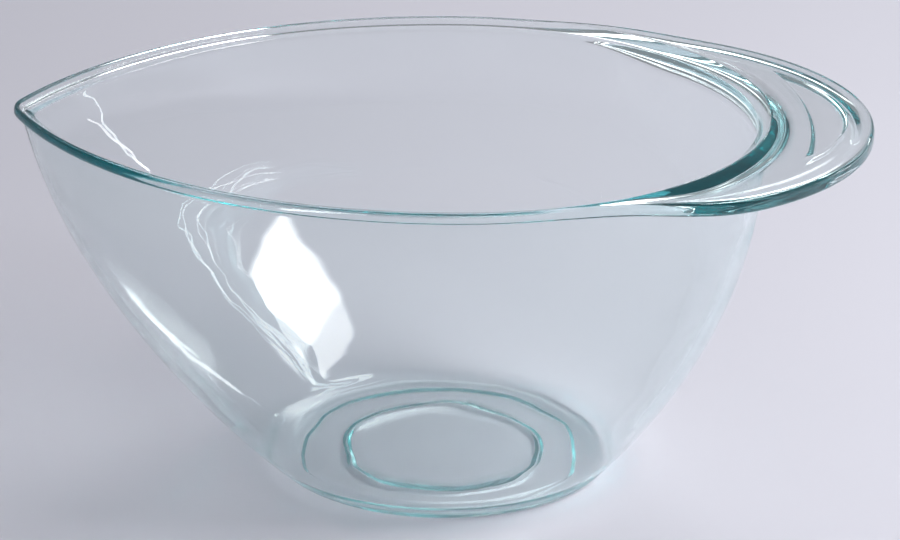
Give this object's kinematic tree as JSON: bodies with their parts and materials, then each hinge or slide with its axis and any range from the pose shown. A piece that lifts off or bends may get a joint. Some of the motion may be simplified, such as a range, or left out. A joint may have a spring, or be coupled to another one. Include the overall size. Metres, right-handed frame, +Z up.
{
  "type": "glass mixing bowl",
  "caption": "Deep round glass mixing bowl with a pouring spout drawn out of its rim on one side and a flat tab handle on the other.",
  "frame": {"origin": "on the table, midway between the spout's tip and the handle's end, at the middle of the foot", "axes": "+Z up, +X along the bowl's length toward the handle, the spout points along -X"},
  "size_m": [0.3, 0.226, 0.1315],
  "materials": {
    "glass": "clear pressed glass with a faint blue-green tint, fire-polished"
  },
  "bodies": {
    "root": {"foot": "glass", "wall": "glass", "spout": "glass", "rim": "glass", "handle": "glass"}
  },
  "joints": []
}
